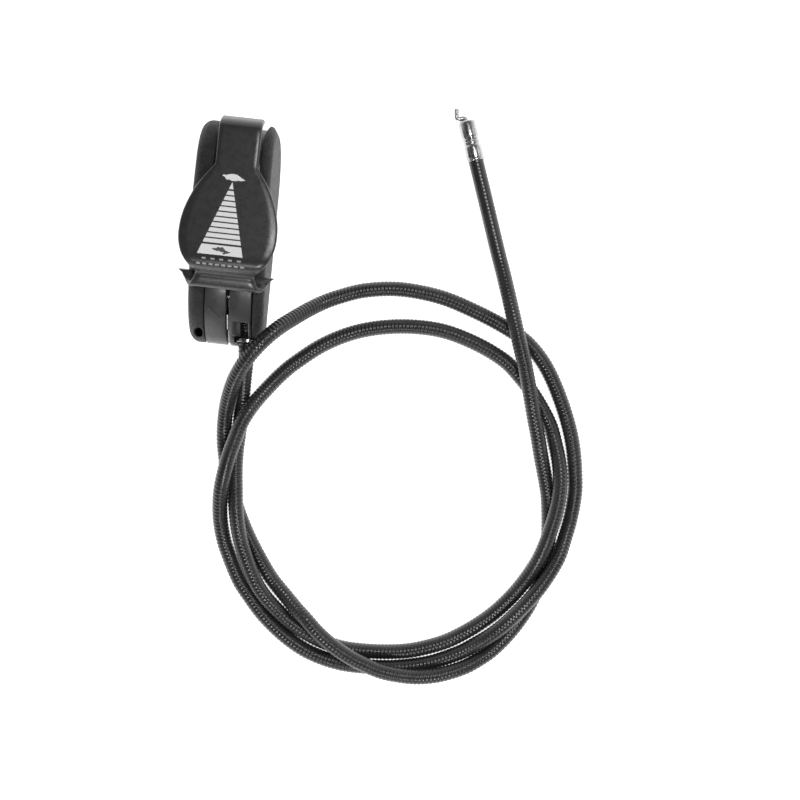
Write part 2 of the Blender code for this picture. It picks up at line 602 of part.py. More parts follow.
def end_wire(mat):
    """Bent end of the inner wire, drawn back against the ferrule."""
    side = Vector((FERRULE_AXIS.y, -FERRULE_AXIS.x, 0.0)) * -1.0
    mouth = FERRULE_BACK + FERRULE_AXIS * FERRULE_LENGTH
    inner = mouth - FERRULE_AXIS * (TRAVEL + 2.0)
    first = mouth + FERRULE_AXIS * 1.4
    second = first + side * 3.0
    third = second + TIP_AXIS * 4.1
    points = (inner, first - FERRULE_AXIS * 1.0, first - FERRULE_AXIS * 0.29 + side * 0.29,
              first + side * 1.0, second - side * 1.0, second - side * 0.29 + TIP_AXIS * 0.29,
              second + TIP_AXIS * 1.0, third)
    return swept_wire("end_wire", points, WIRE_RADIUS, mat)


# ---------------------------------------------------------------- assembly

def main():
    clear_scene()
    grained = make_material("grained_plastic", (0.035, 0.035, 0.037), 0.55)
    core = make_material("core_plastic", (0.045, 0.045, 0.047), 0.5)
    satin = make_material("lever_plastic", (0.04, 0.04, 0.042), 0.38)
    jacket = make_material("conduit_jacket", (0.02, 0.02, 0.021), 0.4)
    steel = make_material("zinc_steel", (0.62, 0.62, 0.6), 0.3, 1.0)
    spring = make_material("spring_steel", (0.45, 0.45, 0.46), 0.35, 1.0)
    nickel = make_material("ferrule_nickel", (0.7, 0.68, 0.64), 0.22, 1.0)
    wire = make_material("wire_steel", (0.6, 0.6, 0.6), 0.3, 1.0)
    nylon = make_material("liner_nylon", (0.75, 0.74, 0.7), 0.45)

    left_cover(grained)
    right_cover(grained)
    core_left(core)
    core_right(core)
    centre_plate(spring)
    screws_and_nuts(steel)
    conduit_clip(spring)
    head_cap(nickel)
    wire_guide(nylon)
    lever(satin)
    pivot_pin(steel)
    pin_stack(steel, spring)
    crank_plate(steel)
    head_wire(wire)
    conduit(jacket)
    end_fitting(jacket, nickel, nylon)
    end_wire(wire)


main()
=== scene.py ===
"""Looks of the lever throttle control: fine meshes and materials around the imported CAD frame.

Lengths of the part are in millimetres and are scaled by MM when a mesh is made. The camera, the
lights, the floor and the distances of shader nodes are in metres.
"""
import json
import math

import bmesh
import bpy
import numpy as np
from mathutils import Matrix, Vector


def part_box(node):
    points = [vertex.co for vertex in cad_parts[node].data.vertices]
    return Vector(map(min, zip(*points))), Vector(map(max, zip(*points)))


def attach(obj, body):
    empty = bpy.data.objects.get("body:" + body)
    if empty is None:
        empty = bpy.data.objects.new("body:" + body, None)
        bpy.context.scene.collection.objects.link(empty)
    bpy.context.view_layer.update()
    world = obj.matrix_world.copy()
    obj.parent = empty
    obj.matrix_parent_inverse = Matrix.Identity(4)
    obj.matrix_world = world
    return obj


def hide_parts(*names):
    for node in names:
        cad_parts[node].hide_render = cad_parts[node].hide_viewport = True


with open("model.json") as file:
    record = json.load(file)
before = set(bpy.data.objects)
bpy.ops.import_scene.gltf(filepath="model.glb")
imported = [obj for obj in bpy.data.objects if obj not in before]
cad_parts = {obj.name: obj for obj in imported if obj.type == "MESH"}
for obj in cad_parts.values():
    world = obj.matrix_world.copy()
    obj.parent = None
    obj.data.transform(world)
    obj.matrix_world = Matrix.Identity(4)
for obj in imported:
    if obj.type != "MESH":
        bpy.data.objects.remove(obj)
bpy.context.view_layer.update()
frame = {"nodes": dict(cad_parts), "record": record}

MM = 0.001

# Layers of the head along X, taken from the frame
LEFT_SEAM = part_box("left_cover")[1][0] / MM
BODY_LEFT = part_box("left_cover")[0][0] / MM
RIGHT_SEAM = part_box("right_cover")[0][0] / MM
BODY_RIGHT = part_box("right_cover")[1][0] / MM
CORE_LEFT_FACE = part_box("core_left")[0][0] / MM
SLOT_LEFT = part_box("core_left")[1][0] / MM
SLOT_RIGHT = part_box("core_right")[0][0] / MM
CORE_RIGHT_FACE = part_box("core_right")[1][0] / MM
BODY_BOTTOM_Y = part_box("left_cover")[0][1] / MM

PIVOT = next(j for j in frame["record"]["behaviour"]["joints"] if j["name"] == "lever_swing")["pos_m"]
PIVOT_Y = PIVOT[1] / MM
PIVOT_Z = PIVOT[2] / MM

# Side outline of the head: arcs about the pivot, corner radii and the round outer edge of the covers
COVER_ARC = 14.2
COVER_REACH = 1.1
CORE_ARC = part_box("core_left")[1][1] / MM - PIVOT_Y
EDGE_ROUND = 3.5
EDGE_STEPS = 10
CORNER_ROUND = 4.5
BACK_ROUND = 18.5
CORE_EDGE = 0.3

# Small step of a cover at its seam: distance from the seam and depth of the step
SEAM_STEP = ((0.0, 0.35), (0.25, 0.06), (0.5, 0.0))

# How far the covers come in beside the strap, and how the right one narrows above TAPER_START_Y
STRAP_REACH = 0.85
TAPER = 0.020
TAPER_START_Y = -20.0

# Radii of the bores, and the (y, z) places of the cover screws
PIN_BORE = 2.8
SCREW_BORE = 1.8
SCREW_SINK = 2.7
SINK_DEPTH = 3.5
SCREWS = ((-20.0, 19.0), (-2.0, 35.0), (29.6, 18.8))

# Screws: place of the head along X, and the half length, half width and ends of a recess slot
SCREW_HEAD_X = -13.2
RECESS_HALF = 1.45
RECESS_HALF_WIDTH = 0.3
RECESS_X = (-14.3, -12.3)

# Lever: a bent sheet whose edges are rounded by SHEET_EDGE, leaning sideways by LEAN below the pivot
SHEET = 2.0
SHEET_EDGE = 0.6
PLATE_Z = 45.2
STRAP_WIDTH = 13.6
SPOON_WIDTH = 30.9
NECK_WIDTH = 19.0
LIP_WIDTH = 22.0
LIP_FLARE = 0.9
WING_WIDTH = 30.8
LEAN = 0.018
PATH_STEPS = 5
WEB_HALF = 1.2
WEB_GAP = 0.3
HUB_RADIUS = 9.0
HUB_GAP = 0.4
WEB_SWEEP = 22.0

# Room for the crank about the pivot: beyond the end of its arm, and around its hub
CRANK_SWEEP = 26.3
CRANK_HUB = 8.2

# Cable
WIRE_X = 5.9
WIRE_Z = 9.0
WIRE_RADIUS = 0.8
CONDUIT_RADIUS = 2.45
EXIT_BORE = 2.9
CONDUIT_START_Y = -30.0
LOWEST_CENTRE = CONDUIT_RADIUS + 0.15
SHEATH_IN_FERRULE = 4.7
LINE_SMOOTHINGS = 6

# Helical rib of the sheath: it stands RIB_RISE proud, and its grooves get shallower near the ferrule
RIB_PITCH = 1.25
RIB_RISE = 0.12
GROOVE_NEAR_END = 0.06
GROOVE_EXTRA = 0.11
GROOVE_CALM = 48.0
GROOVE_FADE = 14.0
GROOVE_SHARPNESS = 1.4

# Far end: ferrule, and the legs of the bent wire outside it
FERRULE_BACK = Vector((75.3, 34.6, 3.0))
FERRULE_AXIS = Vector((-0.347, 0.938, 0.0)).normalized()
FERRULE_LENGTH = 13.8
TRAVEL = 17.02
END_LEGS = (1.15, 3.0, 3.6)
END_BEND = 1.2
TIP_AXIS = Vector((-0.11, 0.994, 0.0))

# Clip around the sheath at the head's lower end
CLIP_PLAY = 0.15
CLIP_THICK = 1.05
CLIP_FOOT = 3.6
CLIP_ENDS_Y = (-34.7, -33.4)

# Centre line of the sheath from the head to just before the ferrule
ROUTE = (
    (5.9, -36.3, 9.0), (6.4, -40.7, 8.6), (6.3, -46.4, 7.0), (6.3, -52.1, 5.4),
    (6.2, -57.5, 4.5), (6.3, -62.2, 4.2), (6.3, -66.6, 5.0), (6.3, -70.9, 6.4),
    (6.7, -77.2, 7.3), (7.5, -83.8, 7.6), (8.3, -89.8, 7.8), (9.9, -97.0, 7.4),
    (12.3, -103.8, 6.7), (17.0, -113.1, 6.0), (21.0, -118.3, 5.4), (25.5, -122.4, 4.6),
    (30.0, -125.9, 3.8), (35.2, -128.7, 3.6), (41.2, -131.2, 3.0), (47.8, -132.8, 2.6),
    (54.6, -133.1, 2.6), (63.0, -132.6, 2.6), (71.5, -131.2, 2.6), (79.6, -128.4, 2.6),
    (85.5, -125.4, 2.6), (92.7, -120.3, 2.6), (99.2, -114.3, 2.8), (105.2, -106.3, 4.6),
    (109.8, -97.5, 7.2), (112.1, -90.9, 7.8), (113.4, -85.2, 7.8), (114.3, -80.8, 7.5),
    (115.0, -74.7, 6.8), (114.9, -68.7, 5.7), (113.9, -62.8, 4.2), (112.0, -56.6, 3.0),
    (109.4, -50.2, 2.6), (103.7, -42.0, 2.6), (98.1, -36.0, 2.6), (91.8, -30.8, 2.6),
    (81.6, -26.2, 2.6), (69.5, -23.2, 2.6), (56.0, -23.4, 2.6), (42.8, -26.4, 2.6),
    (31.6, -32.0, 2.6), (22.3, -39.5, 2.6), (17.8, -44.2, 3.2), (14.2, -48.9, 4.8),
    (11.0, -53.6, 7.2), (8.8, -57.7, 9.5), (7.0, -62.0, 10.4), (5.7, -67.2, 11.2),
    (4.3, -73.3, 11.6), (3.4, -79.4, 11.2), (2.9, -84.2, 10.0), (2.9, -89.4, 7.6),
    (3.4, -94.5, 5.4), (4.7, -99.9, 3.6), (6.5, -104.5, 2.8), (11.4, -113.7, 2.6),
    (15.9, -119.3, 2.6), (20.3, -124.1, 2.6), (25.2, -128.3, 2.6), (30.2, -131.8, 2.6),
    (35.8, -134.8, 2.6), (41.3, -136.7, 2.6), (46.5, -137.8, 2.6), (51.8, -138.3, 2.6),
    (60.2, -138.1, 2.6), (68.5, -137.1, 2.6), (78.4, -134.6, 2.6), (87.4, -130.4, 2.8),
    (92.5, -126.9, 3.8), (97.4, -122.9, 5.6), (101.6, -118.7, 6.8), (105.6, -113.9, 7.4),
    (109.0, -109.3, 7.7), (112.2, -104.4, 7.7), (115.0, -99.1, 7.3), (117.2, -94.0, 6.3),
    (118.7, -87.9, 4.4), (119.9, -81.8, 3.0), (120.5, -75.0, 2.6), (120.2, -68.3, 2.6),
    (117.8, -55.7, 2.6), (113.0, -43.4, 2.6), (106.5, -31.9, 2.6), (99.4, -24.4, 2.6),
    (91.4, -19.9, 2.6), (80.5, -15.6, 2.6), (68.3, -12.1, 2.6), (54.6, -11.0, 2.6),
    (43.0, -12.7, 2.6), (34.9, -15.7, 3.4), (29.4, -18.5, 5.2), (24.7, -21.8, 9.0),
    (20.5, -25.3, 13.2), (16.9, -28.5, 16.8), (13.7, -31.9, 19.0), (10.7, -35.5, 19.3),
    (8.2, -38.9, 18.4), (5.8, -42.9, 16.4), (3.7, -47.4, 13.5), (2.2, -52.6, 10.0),
    (1.4, -57.7, 7.0), (1.2, -62.8, 4.8), (1.5, -67.8, 3.4), (2.4, -72.8, 2.6),
    (3.9, -78.4, 2.6), (5.9, -84.3, 2.6), (8.9, -91.4, 2.6), (13.6, -100.0, 2.6),
    (19.4, -108.5, 2.6), (23.1, -113.1, 2.6), (27.9, -117.6, 3.9), (32.4, -121.6, 6.1),
    (35.8, -124.3, 7.9), (39.5, -127.6, 8.4), (44.1, -131.0, 8.5), (48.4, -133.5, 8.3),
    (52.6, -135.5, 8.0), (56.8, -137.0, 7.9), (61.3, -138.4, 7.6), (66.1, -139.1, 7.6),
    (73.8, -139.3, 6.9), (81.6, -138.0, 5.6), (89.7, -134.8, 4.2), (94.9, -131.4, 3.0),
    (98.5, -128.3, 2.6), (102.0, -124.2, 2.6), (105.3, -119.4, 2.6), (108.0, -114.6, 2.6),
    (110.0, -110.1, 2.6), (111.6, -105.0, 2.6), (112.7, -99.5, 2.6), (113.5, -92.7, 2.6),
    (113.2, -85.9, 2.6), (111.9, -75.9, 2.6), (110.7, -71.0, 2.8), (109.2, -66.1, 3.4),
    (107.6, -61.1, 4.4), (105.6, -54.3, 5.8), (103.7, -48.4, 7.0), (101.4, -40.6, 7.9),
    (98.6, -31.5, 8.2), (95.5, -22.8, 8.1), (93.2, -16.0, 7.0), (90.7, -8.5, 5.2),
    (88.3, -1.5, 3.8), (85.9, 5.0, 3.1), (81.0, 18.7, 3.0),
)


# ---------------------------------------------------------------- meshes

def add_piece(name, bm, mat, smooth_angle=35.0):
    """Smooth-shaded object from a bmesh; faces of more than four corners are caps and stay flat."""
    bmesh.ops.recalc_face_normals(bm, faces=bm.faces)
    mesh = bpy.data.meshes.new(name)
    bm.to_mesh(mesh)
    bm.free()
    mesh.shade_smooth()
    mesh.set_sharp_from_angle(angle=math.radians(smooth_angle))
    for face in mesh.polygons:
        face.use_smooth = len(face.vertices) <= 4
    if mat:
        mesh.materials.append(mat)
    obj = bpy.data.objects.new(name, mesh)
    bpy.context.scene.collection.objects.link(obj)
    return obj


def loft(name, rings, mat=None, smooth_angle=35.0):
    """Solid through rings of equal point counts, capped at both ends."""
    bm = bmesh.new()
    rows = [[bm.verts.new(Vector(p) * MM) for p in ring] for ring in rings]
    count = len(rows[0])
    for low, high in zip(rows, rows[1:]):
        for i in range(count):
            j = (i + 1) % count
            bm.faces.new((low[i], low[j], high[j], high[i]))
    bm.faces.new(rows[0])
    bm.faces.new(rows[-1])
    return add_piece(name, bm, mat, smooth_angle)


def prism_x(name, outline, x0, x1, mat=None):
    """Solid with a (y, z) outline between two places along X."""
    return loft(name, [[(x, y, z) for y, z in outline] for x in (x0, x1)], mat)


def block(name, low, high):
    """Cutter between two opposite corners."""
    outline = ((low[1], low[2]), (high[1], low[2]), (high[1], high[2]), (low[1], high[2]))
    return prism_x(name, outline, low[0], high[0])


def turned(name, profile, origin, axis, mat=None, segments=40, smooth_angle=35.0):
    """Closed (radius, distance) profile turned about an axis through origin."""
    axis = Vector(axis).normalized()
    side = axis.orthogonal().normalized()
    other = axis.cross(side)
    bm = bmesh.new()
    rows = []
    for radius, distance in profile:
        centre = Vector(origin) + axis * distance
        if radius == 0.0:
            rows.append([bm.verts.new(centre * MM)])
            continue
        ring = []
        for i in range(segments):
            angle = 2.0 * math.pi * i / segments
            outward = side * math.cos(angle) + other * math.sin(angle)
            ring.append(bm.verts.new((centre + radius * outward) * MM))
        rows.append(ring)
    for low, high in zip(rows, rows[1:] + rows[:1]):
        if len(low) == 1 and len(high) == 1:
            continue
        for i in range(segments):
            j = (i + 1) % segments
            if len(low) == 1:
                bm.faces.new((low[0], high[j], high[i]))
            elif len(high) == 1:
                bm.faces.new((low[i], low[j], high[0]))
            else:
                bm.faces.new((low[i], low[j], high[j], high[i]))
    return add_piece(name, bm, mat, smooth_angle)


def rod(name, origin, axis, radius, length, segments=32):
    """Cutter that starts at origin: round, or a hexagon with six segments."""
    profile = ((0.0, 0.0), (radius, 0.0), (radius, length), (0.0, length))
    return turned(name, profile, origin, axis, None, segments)


def cut(target, *cutters):
    """Takes each cutter out of target at once and removes it."""
    for cutter in cutters:
        mod = target.modifiers.new("cut", "BOOLEAN")
        mod.operation = "DIFFERENCE"
        mod.solver = "EXACT"
        mod.object = cutter
        graph = bpy.context.evaluated_depsgraph_get()
        mesh = bpy.data.meshes.new_from_object(target.evaluated_get(graph))
        target.modifiers.remove(mod)
        target.data = mesh
        bpy.data.objects.remove(cutter, do_unlink=True)


def bevel(obj, width, segments=2, angle=40.0):
    """Rounds the edges whose faces meet at more than angle, in degrees."""
    mod = obj.modifiers.new("edges", "BEVEL")
    mod.width = width * MM
    mod.segments = segments
    mod.limit_method = "ANGLE"
    mod.angle_limit = math.radians(angle)


def place(obj, body, slot_name, *nodes):
    """Gives a piece its body and hides the CAD nodes that it replaces; slot_name is not used."""
    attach(obj, body)
    if nodes:
        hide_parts(*nodes)
    return obj


# ---------------------------------------------------------------- curves

def arc(cy, cz, radius, start, end, steps):
    """Points in (y, z) on a circle between two angles in degrees."""
    out = []
    for i in range(steps + 1):
        angle = math.radians(start + (end - start) * i / steps)
        out.append((cy + radius * math.cos(angle), cz + radius * math.sin(angle)))
    return out


def smooth_curve(points, steps):
    """Catmull-Rom curve through points of any dimension, as numpy rows."""
    pts = [np.array(p, float) for p in points]
    pts = [2 * pts[0] - pts[1]] + pts + [2 * pts[-1] - pts[-2]]
    out = []
    for a, b, c, d in zip(pts, pts[1:], pts[2:], pts[3:]):
        for i in range(steps):
            t = i / steps
            out.append(0.5 * (2 * b + (c - a) * t + (2 * a - 5 * b + 4 * c - d) * t * t
                              + (3 * b - a - 3 * c + d) * t ** 3))
    out.append(pts[-2])
    return np.array(out)


def evenly(points, step):
    """Points at equal distances of about step along a dense chain."""
    points = np.asarray(points)
    lengths = np.concatenate([[0.0], np.cumsum(np.linalg.norm(np.diff(points, axis=0), axis=1))])
    count = max(2, round(lengths[-1] / step))
    want = np.linspace(0.0, lengths[-1], count + 1)
    return np.stack([np.interp(want, lengths, points[:, k]) for k in range(points.shape[1])], axis=1)


def front_curve():
    """Front of the head in (y, z), from under the strap down to the bottom corner."""
    knots = ((0.0, 43.6), (-4.5, 41.6), (-9.5, 36.0), (-14.5, 31.2), (-21.0, 27.4),
             (-27.5, 22.3), (-32.3, 15.8), (-35.2, 9.6), (BODY_BOTTOM_Y, CORNER_ROUND))
    return [tuple(p) for p in smooth_curve(knots, 8)]


def head_outline(arc_radius, reach=0.0):
    """Side outline: flat back, round top end about the pivot or a little beyond it, curved lower front."""
    top = arc(PIVOT_Y + reach, PIVOT_Z, arc_radius, 0.0, 90.0, 30)
    end_y = PIVOT_Y + reach + arc_radius
    back_top = arc(end_y - BACK_ROUND, BACK_ROUND, BACK_ROUND, -90.0, 0.0, 16)
    back_low = arc(BODY_BOTTOM_Y + CORNER_ROUND, CORNER_ROUND, CORNER_ROUND, 180.0, 270.0, 8)
    return back_top + top + front_curve()[:-1] + back_low


def inset(outline, distance):
    """Closed outline moved inwards."""
    out = []
    count = len(outline)
    for i in range(count):
        before = Vector(outline[i]) - Vector(outline[i - 1])
        after = Vector(outline[(i + 1) % count]) - Vector(outline[i])
        mean = (before.normalized() + after.normalized()).normalized()
        out.append((outline[i][0] - mean.y * distance, outline[i][1] + mean.x * distance))
    return out


# ---------------------------------------------------------------- materials

# Part of a noise that ramp spreads over its range
NOISE_RANGE = (0.3, 0.7)


def map_range(tree, source, from_range, to_range):
    """Node that maps source from one range of values onto another."""
    node = tree.nodes.new("ShaderNodeMapRange")
    node.inputs["From Min"].default_value = from_range[0]
    node.inputs["From Max"].default_value = from_range[1]
    node.inputs["To Min"].default_value = to_range[0]
    node.inputs["To Max"].default_value = to_range[1]
    tree.links.new(source, node.inputs["Value"])
    return node


class Nodes:
    """Short calls for building one node tree in object coordinates; scales are per metre."""

    def __init__(self, name):
        self.mat = bpy.data.materials.new(name)
        self.mat.use_nodes = True
        self.tree = self.mat.node_tree
        self.shader = self.tree.nodes["Principled BSDF"]
        self.coords = self.tree.nodes.new("ShaderNodeTexCoord").outputs["Object"]

    def link(self, source, target):
        self.tree.links.new(source, target)

    def noise(self, scale, detail, roughness=0.5):
        node = self.tree.nodes.new("ShaderNodeTexNoise")
        node.inputs["Scale"].default_value = scale
        node.inputs["Detail"].default_value = detail
        node.inputs["Roughness"].default_value = roughness
        self.link(self.coords, node.inputs["Vector"])
        return node.outputs["Fac"]

    def cells(self, scale):
        node = self.tree.nodes.new("ShaderNodeTexVoronoi")
        node.inputs["Scale"].default_value = scale
        self.link(self.coords, node.inputs["Vector"])
        return node.outputs["Distance"]

    def ramp(self, source, low, high):
        """Noise spread from low to high."""
        return map_range(self.tree, source, NOISE_RANGE, (low, high)).outputs["Result"]

    def add(self, first, second):
        node = self.tree.nodes.new("ShaderNodeMath")
        node.operation = "ADD"
        self.link(first, node.inputs[0])
        self.link(second, node.inputs[1])
        return node.outputs[0]

    def grey(self, value):
        """Base colour from one grey value that varies over the surface."""
        node = self.tree.nodes.new("ShaderNodeCombineColor")
        for channel in node.inputs:
            self.link(value, channel)
        self.link(node.outputs["Color"], self.shader.inputs["Base Color"])

    def rough(self, value):
        """Roughness that varies over the surface."""
        self.link(value, self.shader.inputs["Roughness"])

    def bump(self, height, distance, strength):
        """Fine relief from a height pattern."""
        node = self.tree.nodes.new("ShaderNodeBump")
        node.inputs["Distance"].default_value = distance
        node.inputs["Strength"].default_value = strength
        self.link(height, node.inputs["Height"])
        self.link(node.outputs["Normal"], self.shader.inputs["Normal"])


def grained_plastic():
    """Covers: dull black plastic with a fine pebbled grain."""
    m = Nodes("grained_plastic_look")
    m.grey(m.ramp(m.noise(300.0, 4.0), 0.018, 0.032))
    m.rough(m.ramp(m.noise(1500.0, 2.0), 0.40, 0.60))
    m.bump(m.add(m.cells(2100.0), m.noise(3600.0, 2.0)), 0.00022, 1.0)
    m.shader.inputs["Specular IOR Level"].default_value = 0.22
    return m.mat


def core_plastic():
    """Core halves: smooth black plastic, slightly uneven in its shine."""
    m = Nodes("core_plastic_look")
    m.grey(m.ramp(m.noise(160.0, 4.0), 0.020, 0.036))
    m.rough(m.ramp(m.noise(420.0, 5.0), 0.26, 0.46))
    m.bump(m.noise(1800.0, 3.0), 0.00003, 0.6)
    return m.mat


def lever_plastic():
    """Lever: satin dark grey plastic."""
    m = Nodes("lever_plastic_look")
    m.grey(m.ramp(m.noise(240.0, 5.0), 0.029, 0.034))
    m.rough(m.ramp(m.noise(500.0, 5.0, 0.6), 0.24, 0.34))
    m.bump(m.noise(5200.0, 2.0), 0.00002, 0.5)
    return m.mat


def print_ink(name, low, high, rough_low, rough_high, grain=None):
    """Ink of one grey, with a slight grain where one is given."""
    m = Nodes(name)
    m.grey(m.ramp(m.noise(2600.0, 4.0), low, high))
    m.rough(m.ramp(m.noise(900.0, 3.0), rough_low, rough_high))
    if grain:
        m.bump(m.noise(4000.0, 2.0), grain, 0.4)
    return m.mat


def conduit_jacket():
    """Sheath: shiny black plastic."""
    m = Nodes("conduit_jacket_look")
    m.grey(m.ramp(m.noise(140.0, 4.0), 0.014, 0.030))
    m.rough(m.ramp(m.noise(900.0, 4.0), 0.26, 0.36))
    m.bump(m.noise(3500.0, 2.0), 0.00001, 0.3)
    m.shader.inputs["Specular IOR Level"].default_value = 0.75
    return m.mat


def metal(name, low, high, rough_low, rough_high):
    """Bare metal between two greys and two roughnesses."""
    m = Nodes(name)
    m.shader.inputs["Metallic"].default_value = 1.0
    m.grey(m.ramp(m.noise(500.0, 4.0), low, high))
    m.rough(m.ramp(m.noise(1300.0, 5.0, 0.6), rough_low, rough_high))
    m.bump(m.noise(2400.0, 3.0, 0.6), 0.00002, 0.6)
    return m.mat


def nylon():
    """Guide tube and bush: milky white plastic."""
    m = Nodes("liner_nylon_look")
    m.grey(m.ramp(m.noise(300.0, 3.0), 0.68, 0.78))
    m.rough(m.ramp(m.noise(800.0, 3.0), 0.4, 0.55))
    m.shader.inputs["Subsurface Weight"].default_value = 0.1
    m.shader.inputs["Subsurface Scale"].default_value = 0.001
    return m.mat


def floor_paper():
    """White sheet that glows a little, so that it stays white under soft light."""
    m = Nodes("floor_paper_look")
    m.grey(m.ramp(m.noise(30.0, 3.0), 0.90, 0.92))
    m.rough(m.ramp(m.noise(60.0, 3.0), 0.85, 0.95))
    m.shader.inputs["Emission Color"].default_value = (1.0, 1.0, 1.0, 1.0)
    m.shader.inputs["Emission Strength"].default_value = 0.92
    return m.mat


# ---------------------------------------------------------------- head

def cover_shell(name, seam, outer, mat):
    """Cover plate with a small step at the seam and a round outer edge."""
    sign = 1.0 if outer > seam else -1.0
    outline = head_outline(COVER_ARC, COVER_REACH)
    rings = [[(seam + sign * away, y, z) for y, z in inset(outline, depth)] for away, depth in SEAM_STEP]
    edge = min(EDGE_ROUND, abs(outer - seam) - 0.6)
    for i in range(EDGE_STEPS + 1):
        angle = math.radians(90.0 * i / EDGE_STEPS)
        x = outer - sign * edge * (1.0 - math.sin(angle))
        rings.append([(x, y, z) for y, z in inset(outline, EDGE_ROUND * (1.0 - math.cos(angle)))])
    rings = [[(x + lean_in(x, y, z, seam, outer), y, z) for x, y, z in ring] for ring in rings]
    return loft(name, rings, mat, 50.0)


def lean_in(x, y, z, seam, outer):
    """Move towards the strap of the cover edge beside it and, on the right, of the outer face."""
    share = (x - seam) / (outer - seam)
    beside = float(np.interp(y, (2.0, 12.0), (0.0, 1.0)) * np.interp(z, (34.0, 40.0), (0.0, 1.0)))
    move = STRAP_REACH * beside * (1.0 - share)
    if outer < seam:
        return move
    return -move - TAPER * max(0.0, y - TAPER_START_Y) * share


def conduit_cutters():
    """Room for the sheath, its cap and its clip, cut from the right cover and core half."""
    return (
        rod("exit_bore", (WIRE_X, -40.0, WIRE_Z), (0, 1, 0), EXIT_BORE, 8.5),
        rod("cap_bore", (WIRE_X, -31.8, WIRE_Z), (0, 1, 0), 3.5, 9.8),
        block("clip_slot", (1.9, -35.0, 4.2), (9.9, -33.0, 30.0)),
    )


def left_cover(mat):
    """Left cover with sunk screw places, a blind mounting hole and room for the pin's head."""
    cover = cover_shell("left_cover_shell", LEFT_SEAM, BODY_LEFT, mat)
    stepped = ((0.0, 0.0), (SCREW_SINK, 0.0), (SCREW_SINK, SINK_DEPTH), (SCREW_BORE, SINK_DEPTH),
               (SCREW_BORE, 12.0), (0.0, 12.0))
    for i, (y, z) in enumerate(SCREWS):
        cut(cover, turned(f"sink_{i}", stepped, (-15.0, y, z), (1, 0, 0), None, 32))
    cut(cover, rod("mount_hole", (-9.8, -33.0, 4.0), (0, 0, 1), 1.5, 30.0))
    cut(cover, rod("pin_head_hollow", (-10.3, PIVOT_Y, PIVOT_Z), (1, 0, 0), 5.0, 4.0))
    return place(cover, "housing", "grained_plastic", "left_cover")


def right_cover(mat):
    """Right cover with room for the pin's end, the nuts and the cable's way out."""
    cover = cover_shell("right_cover_shell", RIGHT_SEAM, BODY_RIGHT, mat)
    cut(cover, rod("pin_pocket", (6.0, PIVOT_Y, PIVOT_Z), (1, 0, 0), 3.4, 2.6))
    for i, (y, z) in enumerate(SCREWS):
        cut(cover, rod(f"nut_pocket_{i}", (6.0, y, z), (1, 0, 0), 3.6, 3.2, 6))
    cut(cover, *conduit_cutters())
    return place(cover, "housing", "grained_plastic", "right_cover")


def web_pocket(name, x0, x1):
    """Room for the web and hub of the lever over their whole swing."""
    outline = arc(PIVOT_Y, PIVOT_Z, HUB_RADIUS + HUB_GAP, 180.0, 322.0, 30)
    outline += arc(PIVOT_Y, PIVOT_Z, WEB_SWEEP, -38.0, 112.0, 30)
    return prism_x(name, outline, x0, x1)


def core_half(name, x0, x1, mat):
    """One half of the core: a prism with small round edges at both sides."""
    outline = head_outline(CORE_ARC)
    steps = 3
    rings = []
    for x, sign in ((x0, 1.0), (x1, -1.0)):
        side = []
        for i in range(steps + 1):
            angle = math.radians(90.0 * i / steps)
            depth = CORE_EDGE * (1.0 - math.cos(angle))
            ring = inset(outline, CORE_EDGE * (1.0 - math.sin(angle)))
            side.append([(x + sign * depth, y, z) for y, z in ring])
        rings += side if sign > 0 else side[::-1]
    return loft(name, rings, mat, 50.0)


def mould_mark(mat):
    """Low diagonal arrow rib moulded on the lower front of the left core half."""
    front = front_curve()
    ys = np.array([p[0] for p in front][::-1])
    zs = np.array([p[1] for p in front][::-1])

    def on_front(x, y, lift):
        return (x, y, float(np.interp(y, ys, zs)) + lift)

    outline = ((-6.6, -25.2), (-5.2, -26.6), (-3.4, -27.9), (-2.0, -28.3), (-3.0, -27.2), (-4.6, -25.9),
               (-6.2, -24.6))
    rings = [[on_front(x, y, lift) for x, y in outline] for lift in (-0.4, 0.22)]
    rib = loft("mould_mark", rings, mat)
    bevel(rib, 0.12)
    return place(rib, "housing", "core_plastic")


def core_left(mat):
    """Left core half with room for the web, the pin and the screws."""
    core = core_half("core_left_half", CORE_LEFT_FACE, SLOT_LEFT, mat)
    cut(core, web_pocket("left_web_pocket", -WEB_HALF - WEB_GAP, SLOT_LEFT + 1.0))
    cut(core, rod("left_pin_bore", (-9.0, PIVOT_Y, PIVOT_Z), (1, 0, 0), PIN_BORE, 9.0))
    for i, (y, z) in enumerate(SCREWS):
        cut(core, rod(f"bore_{i}", (-9.0, y, z), (1, 0, 0), SCREW_BORE, 10.0))
    return place(core, "housing", "core_plastic", "core_left")


def crank_pocket(name, x0, x1):
    """Room for the crank arm over its whole swing."""
    outline = arc(PIVOT_Y, PIVOT_Z, CRANK_SWEEP, -125.0, -60.0, 24)
    outline += arc(PIVOT_Y, PIVOT_Z, CRANK_HUB, -30.0, 205.0, 24)
    return prism_x(name, outline, x0, x1)


